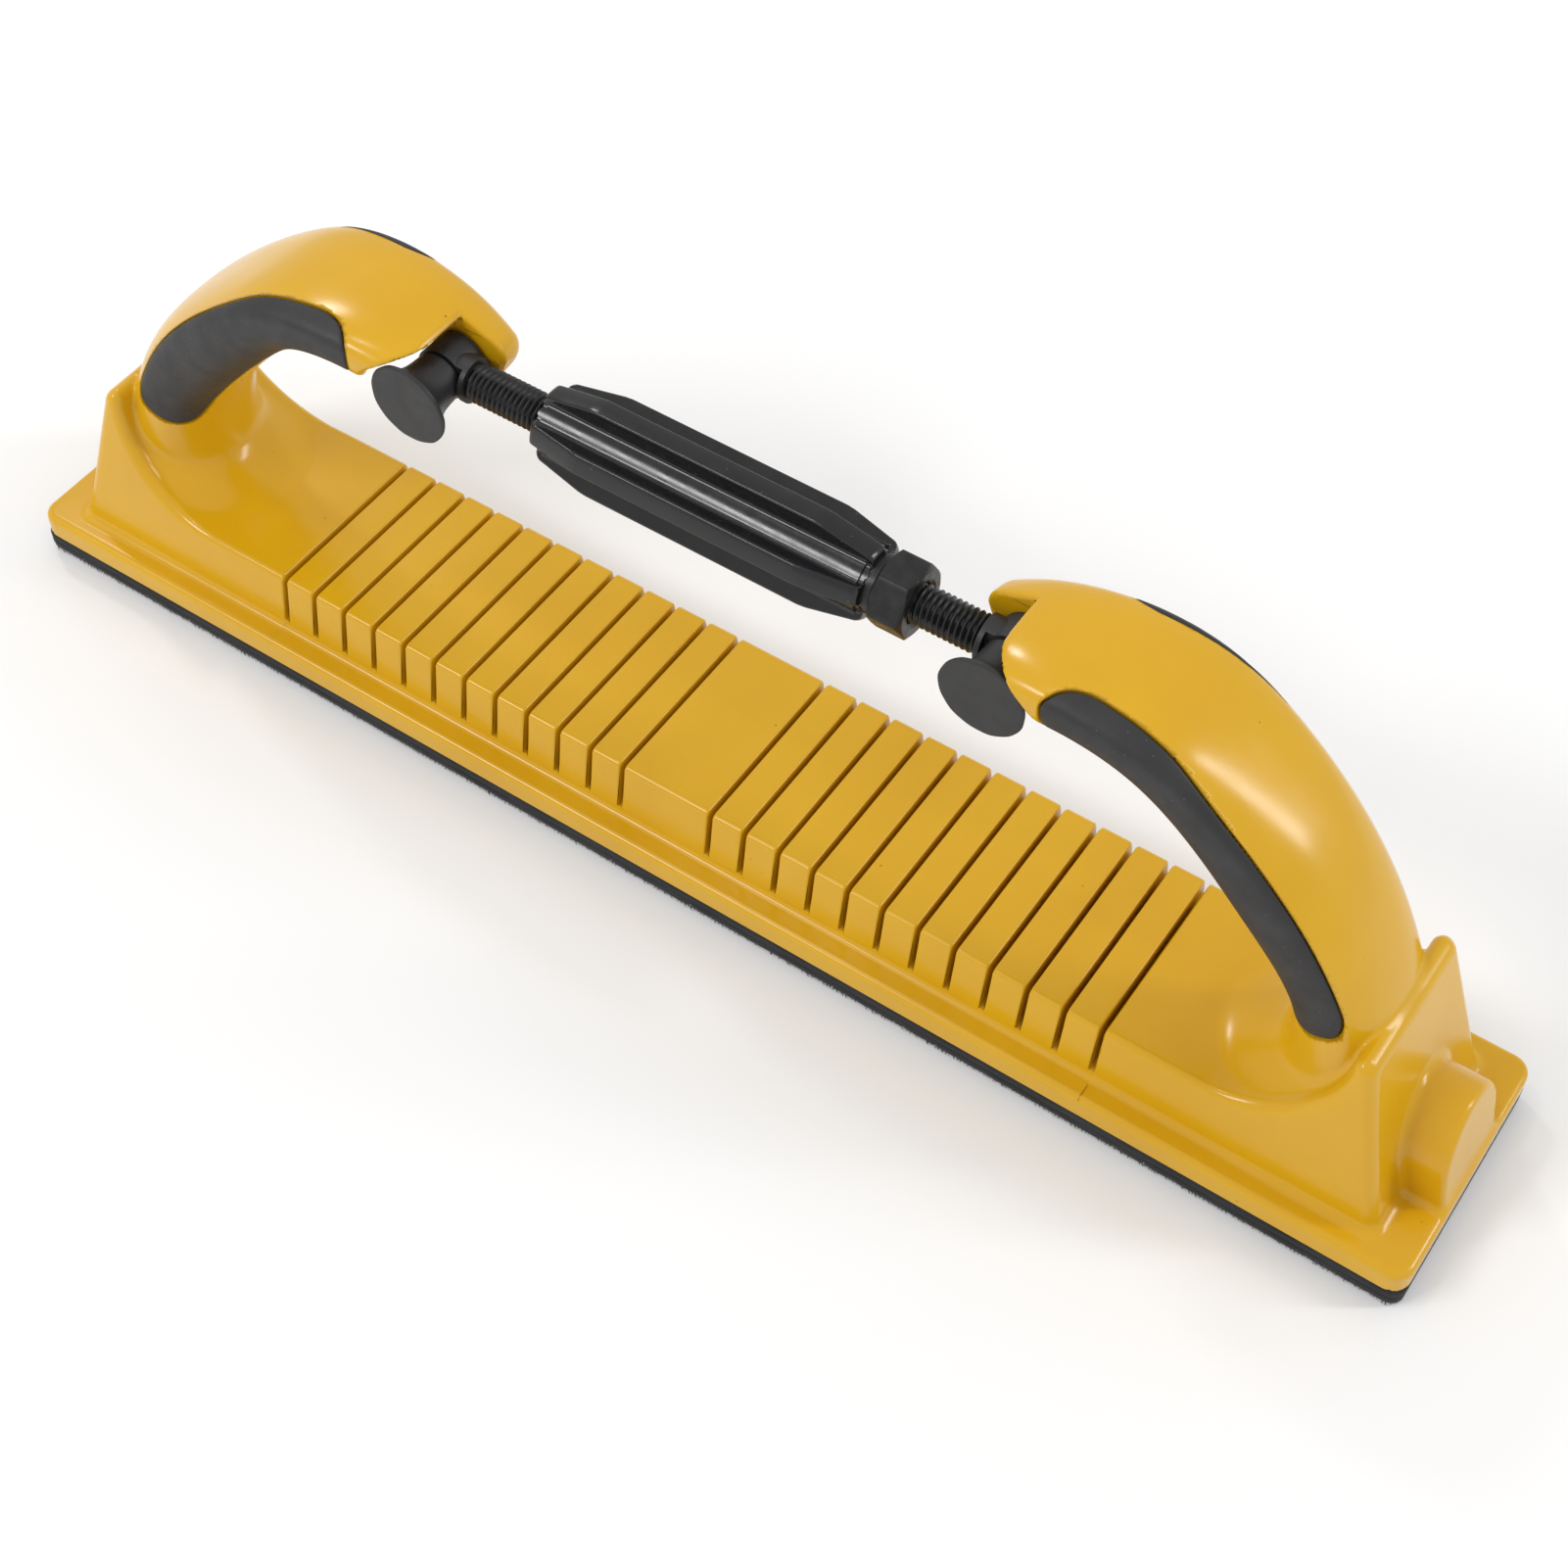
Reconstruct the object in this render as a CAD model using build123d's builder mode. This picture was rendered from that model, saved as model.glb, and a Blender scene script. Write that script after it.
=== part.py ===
from build123d import *
import os
from math import copysign, cos, pi, radians, sin

# Adjustable hand sanding board: a slotted, flexible base with a handle arm at each end and a
# turnbuckle tie rod between the handle tips that bows the base. Millimetres, +Z up, +X along
# the board towards the end with the boss, origin at the centre of the hook face.

os.makedirs("parts", exist_ok=True)

# Board
board_length = 420.0
board_width = 70.0
board_corner = 5.0
hook_thickness = 2.0
foam_thickness = 4.5
flange_thickness = 7.3
flange_edge = 1.6

# Plinth with its cross slots
plinth_top = 30.8
plinth_half_width = 25.95
plinth_draft = 0.14
plinth_edge = 1.4
slot_floor = 15.9
slot_width = 1.4
slot_pitch = 10.08
slot_first = 13.46
slots_per_side = 12

# End block behind each handle
ramp_start_x = 150.0
buttress_front_x = 180.0
buttress_back_x = 185.0
buttress_top = 62.5
block_foot_x = 198.5
block_edge = 2.4
sink = 1.0

# Closed boss on the right end
boss_radius = 14.0
boss_axis_z = 24.8
boss_edge = 1.2
boss_root_x = 186.0
boss_foot_x = 209.0
boss_top_x = 204.5

# Tie rod and its end fittings
rod_z = 110.4
rod_radius = 5.0
thread_clearance = 0.1
pin_x = 79.2
pin_radius = 4.0
pin_tip_y = 13.0
eye_radius = 7.0
eye_bore_radius = 4.8
eye_near_y = -2.8
eye_far_y = 5.4
neck_radius = 5.8
neck_face_x = 70.9
neck_flange = 1.3
tenon_radius = 2.0
tenon_length = 3.0
rod_inner_x_right = 20.0
rod_inner_x_left = -24.0
rod_chamfer = 1.0

# Turnbuckle
grip_start_x = -48.2
grip_end_x = 43.0
fin_count = 5
fin_radius = 12.7
fin_end_radius = 9.6
fin_taper = 14.7
fin_thickness = 5.0
fin_root_radius = 6.1
core_radius = 8.2
core_inset = 1.4
grip_bore_radius = 5.6
insert_radius = 6.5
insert_length = 14.0
collar_radius = 7.5
collar_end_x = 44.7

# Lock nut
nut_across_flats = 17.0
nut_thickness = 9.2
nut_gap = 0.3
nut_chamfer = 1.0

# Pull pin with its flared head
head_radius = 11.0
head_front_y = -16.0
head_rim = 1.3
stem_radius = 6.5
stem_end_y = -3.1
flare_y = -12.4
flare_radius = 8.2
pin_chamfer = 1.0

# Handle arm: centre line x and z, height above it, depth below it, half width, squareness
handle_stations = [
    (67.8, 111.0, 5.8, 6.0, 14.8, 2.4),
    (78.0, 114.9, 7.2, 9.4, 16.9, 2.5),
    (91.5, 119.4, 6.1, 11.4, 18.2, 2.6),
    (105.0, 120.8, 5.0, 12.2, 18.9, 2.7),
    (120.0, 118.2, 5.2, 13.8, 19.1, 2.7),
    (134.0, 110.6, 5.6, 15.2, 19.0, 2.7),
    (155.6, 88.8, 8.7, 15.6, 18.6, 2.6),
    (172.0, 62.0, 9.9, 13.8, 17.8, 2.4),
    (176.0, 46.0, 11.6, 15.5, 18.0, 2.2),
    (176.0, 30.0, 13.5, 24.0, 21.5, 2.0),
]
section_points = 24

# Jaw at the tip: open on the near side, outlined by the near cheek's slanting edge (x, z)
jaw_edge = [(78.2, 122.0), (83.0, 121.0), (87.4, 118.4), (90.7, 114.1), (93.1, 108.7)]
jaw_mouth_x = 60.0
jaw_low_z = 95.0
jaw_high_z = 135.0
jaw_back_x = 94.5
cheek_wall_y = 6.0
pocket_near_y = -9.5
pocket_end_x = 98.0
pocket_low_z = 90.0
pocket_top = 118.4
pin_socket_clearance = 0.1
pin_socket_depth = 0.5

# Rubber grip inlays, outlined in x, z: over the arm, round its foot, up the inside, round the tip
grip_face_y = 10.5
grip_over = [(101.0, 121.5), (122.0, 115.5), (143.0, 102.0), (160.0, 83.0), (171.0, 62.0), (173.5, 53.5)]
grip_foot = [(173.5, 53.5), (169.0, 49.5), (163.0, 54.0), (154.0, 67.0), (144.0, 79.0)]
grip_inside = [(144.0, 79.0), (128.0, 86.0), (96.0, 96.0), (95.0, 106.0)]
grip_tip = [(95.0, 106.0), (96.0, 115.0), (101.0, 121.5)]

# Screws that hold each handle arm to its end block
screw_xs = (164.0, 182.0)
screw_radius = 2.0
screw_head_radius = 4.0
screw_head_z = 18.0
screw_head_height = 3.0
screw_tip_z = 44.0
screw_clearance = 0.15

# Heights and stations that follow
foam_z = hook_thickness
flange_z = foam_z + foam_thickness
flange_top = flange_z + flange_thickness
half_length = board_length / 2
centre_end = slot_first - slot_width / 2
flex_end = slot_first + (slots_per_side - 1) * slot_pitch + slot_width / 2
rib_width = slot_pitch - slot_width
nut_start_x = collar_end_x + nut_gap
insert_start_x = grip_end_x - core_inset - insert_length
collar_length = collar_end_x - grip_end_x + core_inset
seat_z = flange_top - sink


def plinth_section(low, high):
    """Face of the drafted plinth between two heights, on a plane across the board."""
    low_half = plinth_half_width + plinth_draft * (plinth_top - low)
    high_half = plinth_half_width + plinth_draft * (plinth_top - high)
    Polygon((-low_half, low), (low_half, low), (high_half, high), (-high_half, high), align=None)


def keep(part, name):
    """Label a finished piece and write it."""
    part.label = name
    export_step(part, f"parts/{name}.step")


def slab(x_start, x_end, z_start, thickness, at_board_end):
    """A layer of the board between two stations, with round corners at a board end."""
    with BuildPart() as layer:
        with BuildSketch(Plane.XY.offset(z_start)):
            with Locations(((x_start + x_end) / 2, 0)):
                Rectangle(x_end - x_start, board_width)
        extrude(amount=thickness)
        if at_board_end:
            fillet(layer.edges().filter_by(Axis.Z).group_by(Axis.X)[-1], board_corner)
    return layer.part


def flange(x_start, x_end, at_board_end):
    """The yellow flange layer with its softened upper rim."""
    with BuildPart() as layer:
        add(slab(x_start, x_end, flange_z, flange_thickness, at_board_end))
        rim = layer.faces().sort_by(Axis.Z)[-1].edges()
        long_rim = rim.filter_by(Axis.X)
        if at_board_end:
            long_rim = rim.sort_by(Axis.X)[1:]
        fillet(long_rim, flange_edge)
    return layer.part


# --- Base: centre block, two ribbed flex sections, two end blocks ---

with BuildPart() as base_centre_block:
    add(flange(-centre_end, centre_end, False))
    with BuildSketch(Plane.YZ.offset(-centre_end)):
        plinth_section(flange_top, plinth_top)
    extrude(amount=2 * centre_end)
    fillet(base_centre_block.faces().sort_by(Axis.Z)[-1].edges(), plinth_edge)

rib_planes = [
    Plane.YZ.offset(centre_end + slot_width + i * slot_pitch) for i in range(slots_per_side - 1)
]
with BuildPart() as flex_ribs_right:
    add(flange(centre_end, flex_end, False))
    with BuildSketch(Plane.YZ.offset(centre_end)):
        plinth_section(flange_top, slot_floor)
    extrude(amount=flex_end - centre_end)
    with BuildSketch(*rib_planes):
        plinth_section(slot_floor, plinth_top)
    extrude(amount=rib_width)
    fillet(flex_ribs_right.faces().filter_by(Axis.Z).group_by(Axis.Z)[-1].edges(), plinth_edge)

with BuildPart() as flex_ribs_left:
    mirror(flex_ribs_right.part, about=Plane.YZ)

with BuildPart() as end_plinth:
    with BuildSketch(Plane.XZ):
        with BuildLine():
            Polyline(
                (ramp_start_x, plinth_top),
                (flex_end, plinth_top),
                (flex_end, seat_z),
                (block_foot_x, seat_z),
                (buttress_back_x, buttress_top),
                (buttress_front_x, buttress_top),
            )
            TangentArc((ramp_start_x, plinth_top), (buttress_front_x, buttress_top), tangent=(1, 0))
        make_face()
    extrude(amount=board_width / 2, both=True)
    with BuildSketch(Plane.YZ.offset(flex_end)):
        plinth_section(seat_z, buttress_top)
    extrude(amount=half_length - flex_end, mode=Mode.INTERSECT)
    front_face = end_plinth.faces().sort_by(Axis.X)[0]
    foot_face = end_plinth.faces().sort_by(Axis.Z)[0]
    fillet(end_plinth.edges() - front_face.edges() - foot_face.edges(), block_edge)

with BuildPart() as end_boss:
    with BuildSketch(Plane.YZ.offset(boss_root_x)):
        with Locations((0, boss_axis_z)):
            Circle(boss_radius)
        with Locations((0, (seat_z + boss_axis_z) / 2)):
            Rectangle(2 * boss_radius, boss_axis_z - seat_z)
    extrude(amount=half_length - boss_root_x)
    with BuildSketch(Plane.XZ):
        Polygon(
            (boss_root_x, seat_z),
            (boss_foot_x, seat_z),
            (boss_top_x, boss_axis_z + boss_radius),
            (boss_root_x, boss_axis_z + boss_radius),
            align=None,
        )
    extrude(amount=boss_radius, both=True, mode=Mode.INTERSECT)
    end_face = end_boss.faces().sort_by(Axis.X)[-1]
    fillet(end_face.edges() - end_boss.faces().sort_by(Axis.Z)[0].edges(), boss_edge)

with BuildPart() as end_block:
    add(flange(flex_end, half_length, True))
    add(end_plinth.part)
    for screw_x in screw_xs:
        with Locations((screw_x, 0, 0)):
            Cylinder(
                screw_radius + screw_clearance, buttress_top + sink,
                align=(Align.CENTER, Align.CENTER, Align.MIN), mode=Mode.SUBTRACT,
            )
            Cylinder(
                screw_head_radius + screw_clearance, screw_head_z + screw_head_height,
                align=(Align.CENTER, Align.CENTER, Align.MIN), mode=Mode.SUBTRACT,
            )

with BuildPart() as base_end_right:
    add(end_block.part)
    add(end_boss.part)

with BuildPart() as base_end_left:
    mirror(end_block.part, about=Plane.YZ)

# --- Foam pad and hook face, in the same five lengths as the base ---

sections = {
    "centre": (-centre_end, centre_end, False),
    "flex_right": (centre_end, flex_end, False),
    "end_right": (flex_end, half_length, True),
}
for place, (x_start, x_end, at_end) in sections.items():
    foam = slab(x_start, x_end, foam_z, foam_thickness, at_end)
    hooks = slab(x_start, x_end, 0, hook_thickness, at_end)
    keep(foam, f"foam_pad_{place}")
    keep(hooks, f"hook_face_{place}")
    if place != "centre":
        other_place = place.replace("right", "left")
        keep(mirror(foam, about=Plane.YZ), f"foam_pad_{other_place}")
        keep(mirror(hooks, about=Plane.YZ), f"hook_face_{other_place}")

# --- Handle arm: lofted body, open jaw at the tip, rubber inlays on both flanks ---


def station_plane(index):
    """Plane across the arm at a station, square to the line through its neighbours."""
    before = handle_stations[max(index - 1, 0)]
    after = handle_stations[min(index + 1, len(handle_stations) - 1)]
    along = Vector(after[0] - before[0], 0, after[1] - before[1])
    x, z = handle_stations[index][:2]
    return Plane(origin=(x, 0, z), x_dir=(0, 1, 0), z_dir=along)


def arm_section(height, depth, half_width, squareness):
    """Points round the arm's section, a rounded shape between an ellipse and a rectangle."""
    points = []
    for turn in (2 * pi * i / section_points for i in range(section_points)):
        across, up = cos(turn), sin(turn)
        reach = height if up > 0 else depth
        points.append((
            copysign(half_width * abs(across) ** (2 / squareness), across),
            copysign(reach * abs(up) ** (2 / squareness), up),
        ))
    return points


with BuildPart() as arm:
    for index, (_, _, height, depth, half_width, squareness) in enumerate(handle_stations):
        with BuildSketch(station_plane(index)):
            with BuildLine():
                Spline(*arm_section(height, depth, half_width, squareness), periodic=True)
            make_face()
    loft()

with BuildPart() as grip_prism:
    with BuildSketch(Plane.XZ.offset(grip_face_y)):
        with BuildLine():
            Spline(*grip_over)
            Spline(*grip_foot)
            Polyline(*grip_inside)
            Spline(*grip_tip)
        make_face()
    extrude(amount=board_width / 2)

with BuildPart() as grip_near_right:
    add(arm.part)
    add(grip_prism.part, mode=Mode.INTERSECT)

with BuildPart() as grip_far_right:
    mirror(grip_near_right.part, about=Plane.XZ)

with BuildPart() as jaw_cut:
    with BuildSketch(Plane.XZ.offset(-cheek_wall_y)):
        with BuildLine():
            Polyline(
                jaw_edge[0], (jaw_edge[0][0], jaw_high_z), (jaw_mouth_x, jaw_high_z),
                (jaw_mouth_x, jaw_low_z), (jaw_back_x, jaw_low_z), jaw_edge[-1],
            )
            Spline(*jaw_edge)
        make_face()
    extrude(amount=board_width)

with BuildPart() as handle_right:
    add(arm.part)
    add(grip_prism.part, mode=Mode.SUBTRACT)
    add(mirror(grip_prism.part, about=Plane.XZ, mode=Mode.PRIVATE), mode=Mode.SUBTRACT)
    add(jaw_cut.part, mode=Mode.SUBTRACT)
    with BuildSketch(Plane.XZ.offset(-cheek_wall_y)):
        with Locations(((jaw_mouth_x + pocket_end_x) / 2, (pocket_low_z + pocket_top) / 2)):
            Rectangle(pocket_end_x - jaw_mouth_x, pocket_top - pocket_low_z)
    extrude(amount=cheek_wall_y - pocket_near_y, mode=Mode.SUBTRACT)
    with BuildSketch(Plane.XZ.offset(-cheek_wall_y)):
        with Locations((pin_x, rod_z)):
            Circle(pin_radius + pin_socket_clearance)
    extrude(amount=cheek_wall_y - pin_tip_y - pin_socket_depth, mode=Mode.SUBTRACT)
    add(end_block.part, mode=Mode.SUBTRACT)
    with BuildSketch(Plane.XY):
        with Locations((screw_xs[0], 0), (screw_xs[1], 0)):
            Circle(screw_radius + screw_clearance)
    extrude(amount=screw_tip_z + sink, mode=Mode.SUBTRACT)

handle_solid = handle_right.part.solids().sort_by(SortBy.VOLUME)[-1]

with BuildPart() as handle_screws_right:
    for screw_x in screw_xs:
        with Locations((screw_x, 0, screw_head_z)):
            Cylinder(screw_head_radius, screw_head_height, align=(Align.CENTER, Align.CENTER, Align.MIN))
            Cylinder(screw_radius, screw_tip_z - screw_head_z, align=(Align.CENTER, Align.CENTER, Align.MIN))

# --- Tie rod: eyes on the pins, threaded rods, turnbuckle, lock nut ---

with BuildPart() as eye_right:
    with BuildSketch(Plane.XZ.offset(-eye_far_y)):
        with Locations((pin_x, rod_z)):
            Circle(eye_radius)
    extrude(amount=eye_far_y - eye_near_y)
    with BuildSketch(Plane.YZ.offset(neck_face_x)):
        with Locations((0, rod_z)):
            Circle(neck_radius)
    extrude(amount=neck_flange)
    with BuildSketch(Plane.YZ.offset(neck_face_x + neck_flange)):
        with Locations((0, rod_z)):
            Circle(neck_radius)
        with Locations(((eye_near_y + eye_far_y) / 2, rod_z)):
            Rectangle(eye_far_y - eye_near_y, 2 * neck_radius, mode=Mode.INTERSECT)
    extrude(amount=pin_x - neck_face_x - neck_flange)
    with BuildSketch(Plane.XZ.offset(-eye_far_y)):
        with Locations((pin_x, rod_z)):
            Circle(eye_bore_radius)
    extrude(amount=eye_far_y - eye_near_y, mode=Mode.SUBTRACT)
    with BuildSketch(Plane.YZ.offset(neck_face_x)):
        with Locations((0, rod_z)):
            Circle(tenon_radius)
    extrude(amount=tenon_length, mode=Mode.SUBTRACT)


def threaded_rod(inner_x):
    """Rod from its inner end to the eye's neck, with the tenon that seats in the eye."""
    with BuildPart() as rod:
        with BuildSketch(Plane.YZ.offset(inner_x)):
            with Locations((0, rod_z)):
                Circle(rod_radius)
        extrude(amount=neck_face_x - inner_x)
        chamfer(rod.edges().sort_by(Axis.X)[0], rod_chamfer)
        with BuildSketch(Plane.YZ.offset(neck_face_x)):
            with Locations((0, rod_z)):
                Circle(tenon_radius)
        extrude(amount=tenon_length)
    return rod.part


fin_planes = [
    Plane(origin=(0, 0, rod_z), x_dir=(1, 0, 0), z_dir=(0, -cos(radians(turn)), sin(radians(turn))))
    for turn in (360 / fin_count * i for i in range(fin_count))
]
with BuildPart() as turnbuckle_grip:
    with BuildSketch(Plane.YZ.offset(grip_start_x + core_inset)):
        with Locations((0, rod_z)):
            Circle(core_radius)
    extrude(amount=grip_end_x - grip_start_x - 2 * core_inset)
    with BuildSketch(*fin_planes):
        Polygon(
            (grip_start_x, fin_root_radius),
            (grip_start_x, fin_end_radius),
            (grip_start_x + fin_taper, fin_radius),
            (grip_end_x - fin_taper, fin_radius),
            (grip_end_x, fin_end_radius),
            (grip_end_x, fin_root_radius),
            align=None,
        )
    extrude(amount=fin_thickness / 2, both=True)
    with BuildSketch(Plane.YZ.offset(grip_start_x)):
        with Locations((0, rod_z)):
            Circle(grip_bore_radius)
    extrude(amount=grip_end_x - grip_start_x, mode=Mode.SUBTRACT)
    for insert_plane, reach in (
        (Plane.YZ.offset(grip_start_x), insert_length + core_inset),
        (Plane.YZ.offset(grip_end_x), -insert_length - core_inset),
    ):
        with BuildSketch(insert_plane):
            with Locations((0, rod_z)):
                Circle(insert_radius)
        extrude(amount=reach, mode=Mode.SUBTRACT)
    with BuildSketch(Plane.YZ.offset(grip_end_x - core_inset)):
        with Locations((0, rod_z)):
            Circle(collar_radius)
    extrude(amount=core_inset, mode=Mode.SUBTRACT)


def threaded_insert(x_start, length, collar):
    """Metal sleeve in one end of the grip, with an optional collar at its outer end."""
    with BuildPart() as sleeve:
        with BuildSketch(Plane.YZ.offset(x_start)):
            with Locations((0, rod_z)):
                Circle(insert_radius)
        extrude(amount=length)
        if collar:
            with BuildSketch(Plane.YZ.offset(x_start + length)):
                with Locations((0, rod_z)):
                    Circle(collar_radius)
            extrude(amount=collar)
        with BuildSketch(Plane.YZ.offset(x_start)):
            with Locations((0, rod_z)):
                Circle(rod_radius + thread_clearance)
        extrude(amount=length + collar, mode=Mode.SUBTRACT)
    return sleeve.part


with BuildPart() as lock_nut:
    with BuildSketch(Plane.YZ.offset(nut_start_x)):
        with Locations((0, rod_z)):
            RegularPolygon(nut_across_flats / 2, 6, major_radius=False)
    extrude(amount=nut_thickness)
    with BuildSketch(Plane.YZ.offset(nut_start_x)):
        with Locations((0, rod_z)):
            Circle(nut_across_flats / 2 + nut_chamfer)
    extrude(amount=nut_thickness, mode=Mode.INTERSECT)
    with BuildSketch(Plane.YZ.offset(nut_start_x)):
        with Locations((0, rod_z)):
            Circle(rod_radius + thread_clearance)
    extrude(amount=nut_thickness, mode=Mode.SUBTRACT)

# --- Pull pin: flared head, stem, and the pin that holds the eye in the far cheek ---

pin_plane = Plane(origin=(pin_x, 0, rod_z), x_dir=(0, 1, 0), z_dir=(1, 0, 0))
with BuildPart() as pull_pin_right:
    with BuildSketch(pin_plane):
        with BuildLine():
            Polyline(
                (stem_end_y, stem_radius), (stem_end_y, pin_radius), (pin_tip_y - pin_chamfer, pin_radius),
                (pin_tip_y, pin_radius - pin_chamfer), (pin_tip_y, 0), (head_front_y, 0),
                (head_front_y, head_radius), (head_front_y + head_rim, head_radius),
            )
            Spline(
                (head_front_y + head_rim, head_radius), (flare_y, flare_radius), (stem_end_y, stem_radius),
                tangents=((0.4, -1), (1, 0)),
            )
        make_face()
    revolve(axis=Axis((pin_x, 0, rod_z), (0, 1, 0)))

# --- Write every piece; the left-hand ones mirror the right-hand ones ---

right_and_left = {
    "flex_ribs": flex_ribs_right.part,
    "handle": handle_solid,
    "grip_near": grip_near_right.part,
    "grip_far": grip_far_right.part,
    "handle_screws": handle_screws_right.part,
    "eye": eye_right.part,
    "pull_pin": pull_pin_right.part,
}
for name, part in right_and_left.items():
    keep(part, f"{name}_right")
    keep(mirror(part, about=Plane.YZ), f"{name}_left")

keep(base_centre_block.part, "base_centre_block")
keep(base_end_right.part, "base_end_right")
keep(base_end_left.part, "base_end_left")
keep(threaded_rod(rod_inner_x_right), "threaded_rod_right")
keep(mirror(threaded_rod(-rod_inner_x_left), about=Plane.YZ), "threaded_rod_left")
keep(turnbuckle_grip.part, "turnbuckle_grip")
keep(threaded_insert(insert_start_x, insert_length, collar_length), "threaded_insert_right")
keep(threaded_insert(grip_start_x + core_inset, insert_length, 0), "threaded_insert_left")
keep(lock_nut.part, "lock_nut")
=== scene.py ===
"""Looks of the adjustable hand sanding board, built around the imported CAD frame.

Dimensions below are millimetres in the CAD frame and become metres where a mesh is made.
"""

from math import cos, pi, radians, sin, sqrt, tau

import bmesh
import bpy
import numpy as np
from mathutils import Matrix, Vector


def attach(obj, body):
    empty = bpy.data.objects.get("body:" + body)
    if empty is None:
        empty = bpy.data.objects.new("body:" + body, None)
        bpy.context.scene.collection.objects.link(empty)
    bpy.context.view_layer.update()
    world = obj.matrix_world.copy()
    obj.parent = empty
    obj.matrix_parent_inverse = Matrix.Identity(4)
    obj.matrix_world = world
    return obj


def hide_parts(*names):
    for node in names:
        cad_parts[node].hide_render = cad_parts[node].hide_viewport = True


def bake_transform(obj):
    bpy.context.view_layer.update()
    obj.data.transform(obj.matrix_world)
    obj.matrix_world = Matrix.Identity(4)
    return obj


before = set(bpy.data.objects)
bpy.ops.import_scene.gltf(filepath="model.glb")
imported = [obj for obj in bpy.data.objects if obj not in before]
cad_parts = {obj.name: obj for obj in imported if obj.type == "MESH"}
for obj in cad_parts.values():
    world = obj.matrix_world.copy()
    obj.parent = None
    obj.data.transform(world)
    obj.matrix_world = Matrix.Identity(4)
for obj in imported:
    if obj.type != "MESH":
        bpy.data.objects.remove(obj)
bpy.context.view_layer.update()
rng = np.random.default_rng(7)

MM = 0.001

# Board
HALF_LENGTH = 210.0
HALF_WIDTH = 35.0
CORNER = 5.0
PAD_CORNER = 3.5
FLANGE_Z = 6.5
FLANGE_TOP = 13.8
FLANGE_EDGE = 1.8
PLINTH_TOP = 30.8
PLINTH_HALF = 25.95
DRAFT = 0.14
SLOT_FLOOR = 15.9
SLOT_WIDTH = 1.4
SLOT_PITCH = 10.08
SLOT_FIRST = 13.46
SLOTS = 12
CENTRE_END = SLOT_FIRST - SLOT_WIDTH / 2
FLEX_END = SLOT_FIRST + (SLOTS - 1) * SLOT_PITCH + SLOT_WIDTH / 2
ROOT_FILLET = 1.9

# End block
RAMP_START = 150.0
RAMP_RADIUS = 30.05
BUTTRESS_TOP = 62.5
BLOCK_FOOT_X = 198.5
BUTTRESS_BACK_X = 185.0
BOSS_RADIUS = 14.0
BOSS_Z = 24.8
BOSS_ROOT_X = 186.0
BOSS_FOOT_X = 209.0
BOSS_TOP_X = 204.5

# Tie rod
ROD_Z = 110.4
ROD_RADIUS = 5.0
THREAD_PITCH = 1.5
THREAD_DEPTH = 0.85
NECK_X = 70.9
PIN_X = 79.2
GRIP_START = -48.2
GRIP_END = 43.0
FINS = 5
FIN_RADIUS, FIN_START, FIN_TAPER = 12.7, 9.7, 14.7
CORE_RADIUS, CORE_BORE = 8.25, 5.7
NUT_START = 45.0
NUT_LENGTH = 9.2
NUT_FLATS = 17.0

# Handle arm: centre line x and z, height above it, depth below it, half width, squareness
ARM_STATIONS = np.array([
    (67.8, 111.0, 5.8, 6.0, 14.8, 2.4),
    (78.0, 114.9, 7.2, 9.4, 16.9, 2.5),
    (91.5, 119.4, 6.1, 11.4, 18.2, 2.6),
    (105.0, 120.8, 5.0, 12.2, 18.9, 2.7),
    (120.0, 118.2, 5.2, 13.8, 19.1, 2.7),
    (134.0, 110.6, 5.6, 15.2, 19.0, 2.7),
    (155.6, 88.8, 8.7, 15.6, 18.6, 2.6),
    (172.0, 62.0, 9.9, 13.8, 17.8, 2.4),
    (176.0, 46.0, 11.6, 15.5, 18.0, 2.2),
    (176.5, 38.0, 12.4, 19.0, 18.8, 2.1),
    (176.5, 31.0, 13.5, 27.0, 21.5, 2.0),
    (176.5, 25.0, 13.5, 29.0, 22.5, 2.0),
])

# Rubber inlay outline on the arm: travel along it, and angle round it from the top, in degrees
INLAY_OUTLINE = np.array([
    (36.5, 36), (42, 36), (47, 37.5), (52, 40), (57, 43), (62, 48), (68.5, 54), (75, 58), (81, 60),
    (88, 61.5), (97, 62.5), (106, 63.5), (116, 65), (124, 65.5), (129, 67.5), (132.4, 77), (134.4, 92),
    (135.3, 110), (134.8, 128), (133, 141), (128.5, 151), (121, 156.5), (114, 159), (105, 158), (97, 157),
    (85, 160), (70, 162), (50, 160), (38, 154), (31, 140), (27.8, 120), (27.4, 104), (28.2, 80),
    (29.8, 60), (32.4, 44),
], float)
FAR_INLAY_DROP = 16.0
INLAY_GAP = 0.4
INLAY_DEPTH = 1.3
INLAY_PROUD = 0.12
INLAY_BACK_GAP = 0.1
RUBBER_LEVEL = 1.15

# Handle tip: open jaw round the pin, cut through the near cheek, and the pocket behind that cheek
CREST_Z = 125.88
TIP_ROUND = 4.0
JAW_X, JAW_Z, JAW_RADIUS = 78.4, 106.3, 15.4
JAW_SPREAD = 0.06
CHEEK_START = 79.0
JAW_BACK_Y = 6.0
POCKET_END, POCKET_FRONT_Y, POCKET_TOP = 99.0, -14.2, 118.0

# Columns of the arm's stations, and of the rail after its direction is added
ABOVE, BELOW, HALF, SQUARENESS, WAY_X, WAY_Z = range(2, 8)


# ---------------------------------------------------------------- meshes

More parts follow.
